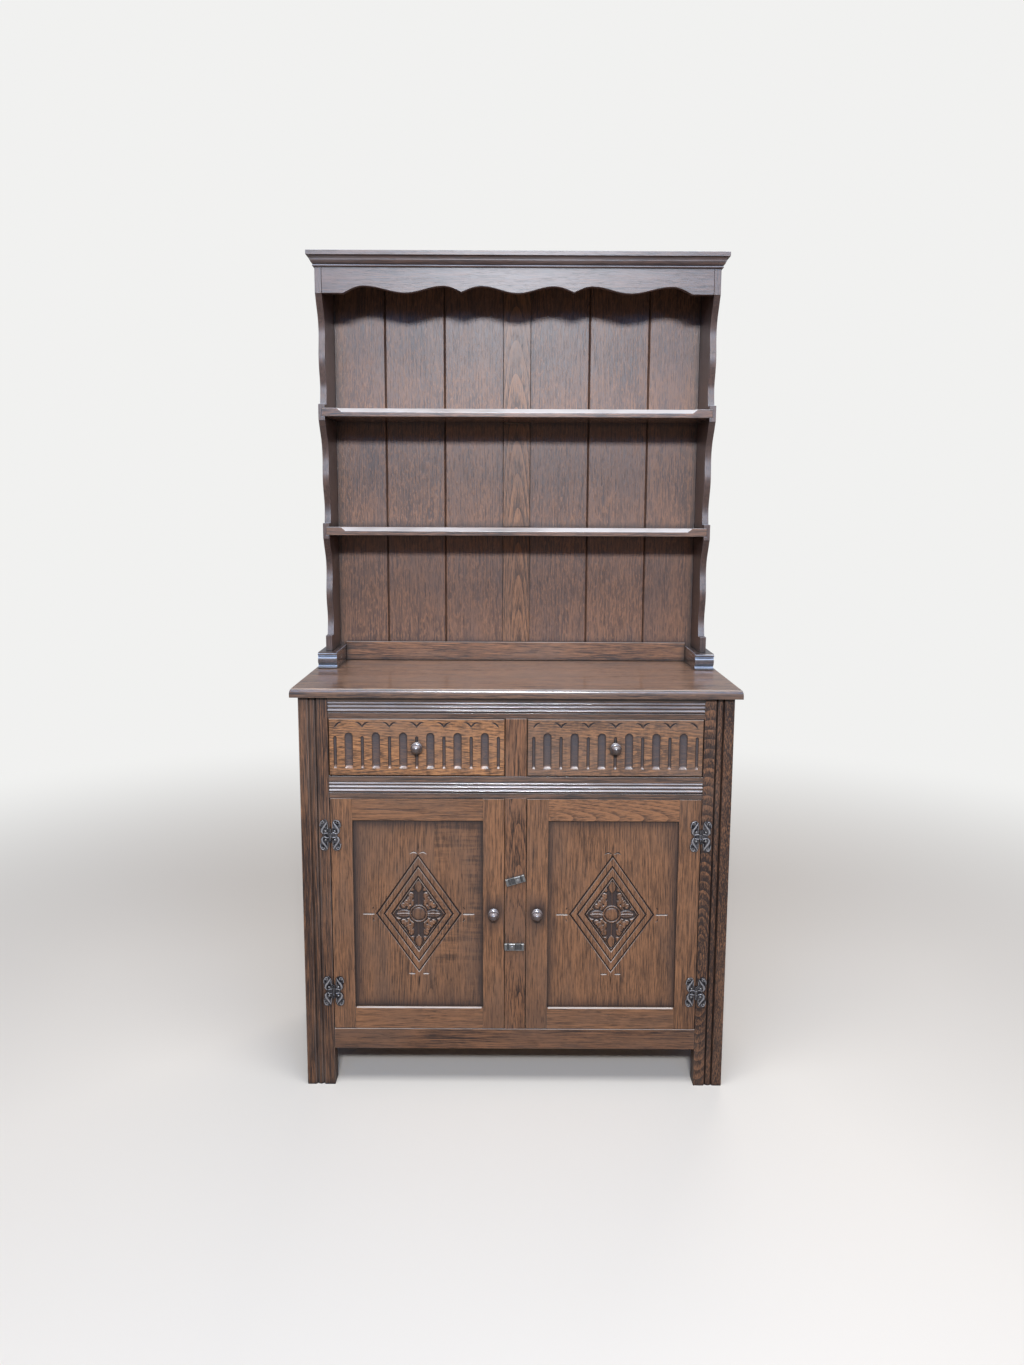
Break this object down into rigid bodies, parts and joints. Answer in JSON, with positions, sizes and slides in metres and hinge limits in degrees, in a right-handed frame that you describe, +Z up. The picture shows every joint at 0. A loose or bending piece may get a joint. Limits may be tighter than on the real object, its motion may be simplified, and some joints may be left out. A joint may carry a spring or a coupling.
{
  "type": "welsh dresser",
  "caption": "Dark oak dresser: open plate rack with shaped sides and frieze over a base with fluted drawers and panelled doors carved with diamonds.",
  "frame": {"origin": "centre of the bounding box's base, at floor level", "axes": "+Z up, -Y towards the front of the dresser, +X to the right of someone facing it"},
  "size_m": [0.95, 0.468, 1.825],
  "materials": {
    "dark_oak": "dark stained oak, satin lacquer, worn paler on edges",
    "panel_oak": "mid brown stained oak, satin lacquer",
    "drawer_oak": "warm brown stained oak, satin lacquer, dark in the flutes",
    "lining_wood": "plain unstained hardwood and plywood",
    "turned_wood": "dark turned hardwood, polished",
    "hinge_metal": "antique dark metal, rubbed bright on the high parts",
    "button_metal": "dull pewter grey cast metal"
  },
  "bodies": {
    "root": {"worktop": "dark_oak", "front_leg_left": "dark_oak", "front_leg_right": "dark_oak", "rear_leg_left": "dark_oak", "rear_leg_right": "dark_oak", "top_rail": "dark_oak", "drawer_stile": "dark_oak", "middle_rail": "dark_oak", "door_stile": "dark_oak", "bottom_rail": "dark_oak", "side_bottom_rail_left": "dark_oak", "side_bottom_rail_right": "dark_oak", "rack_side_left": "dark_oak", "rack_side_right": "dark_oak", "rack_foot_left": "dark_oak", "rack_foot_right": "dark_oak", "cornice": "dark_oak", "frieze": "dark_oak", "rack_shelf_upper": "dark_oak", "rack_shelf_lower": "dark_oak", "rack_bottom_rail": "dark_oak", "side_panel_left": "panel_oak", "side_panel_right": "panel_oak", "rack_back_panel_left": "panel_oak", "rack_back_panel_right": "panel_oak", "rack_back_muntin": "panel_oak", "base_back_panel": "lining_wood", "cupboard_floor": "lining_wood", "cupboard_shelf": "lining_wood", "drawer_deck": "lining_wood", "left_frame_leaf_upper": "hinge_metal", "left_frame_leaf_lower": "hinge_metal", "right_frame_leaf_upper": "hinge_metal", "right_frame_leaf_lower": "hinge_metal"},
    "left_drawer": {"left_drawer_front": "drawer_oak", "left_drawer_box": "lining_wood", "left_drawer_bottom": "lining_wood", "left_drawer_knob": "turned_wood"},
    "left_door": {"left_door_hinge_stile": "panel_oak", "left_door_lock_stile": "panel_oak", "left_door_top_rail": "panel_oak", "left_door_bottom_rail": "panel_oak", "left_door_panel": "panel_oak", "left_door_knob": "turned_wood", "left_door_leaf_upper": "hinge_metal", "left_door_leaf_lower": "hinge_metal"},
    "right_drawer": {"right_drawer_front": "drawer_oak", "right_drawer_box": "lining_wood", "right_drawer_bottom": "lining_wood", "right_drawer_knob": "turned_wood"},
    "right_door": {"right_door_hinge_stile": "panel_oak", "right_door_lock_stile": "panel_oak", "right_door_top_rail": "panel_oak", "right_door_bottom_rail": "panel_oak", "right_door_panel": "panel_oak", "right_door_knob": "turned_wood", "right_door_leaf_upper": "hinge_metal", "right_door_leaf_lower": "hinge_metal"},
    "upper_button": {"turn_button_upper": "button_metal"},
    "lower_button": {"turn_button_lower": "button_metal"}
  },
  "joints": [
    {"name": "left_drawer_slide", "type": "slide", "parent": "root", "child": "left_drawer", "axis": [0, -1, 0], "range_m": [0, 0.3]},
    {"name": "right_drawer_slide", "type": "slide", "parent": "root", "child": "right_drawer", "axis": [0, -1, 0], "range_m": [0, 0.3]},
    {"name": "left_door_hinge", "type": "hinge", "parent": "root", "child": "left_door", "pos_m": [-0.39725, -0.2096, 0.395], "axis": [0, 0, -1], "range_deg": [0, 110]},
    {"name": "right_door_hinge", "type": "hinge", "parent": "root", "child": "right_door", "pos_m": [0.39725, -0.2096, 0.395], "axis": [0, 0, 1], "range_deg": [0, 110]},
    {"name": "upper_button_turn", "type": "hinge", "parent": "root", "child": "upper_button", "pos_m": [0.005, -0.206, 0.477], "axis": [0, -1, 0], "range_deg": [0, 163.4]},
    {"name": "lower_button_turn", "type": "hinge", "parent": "root", "child": "lower_button", "pos_m": [-0.0067, -0.206, 0.3245], "axis": [0, 1, 0], "range_deg": [0, 180]}
  ]
}
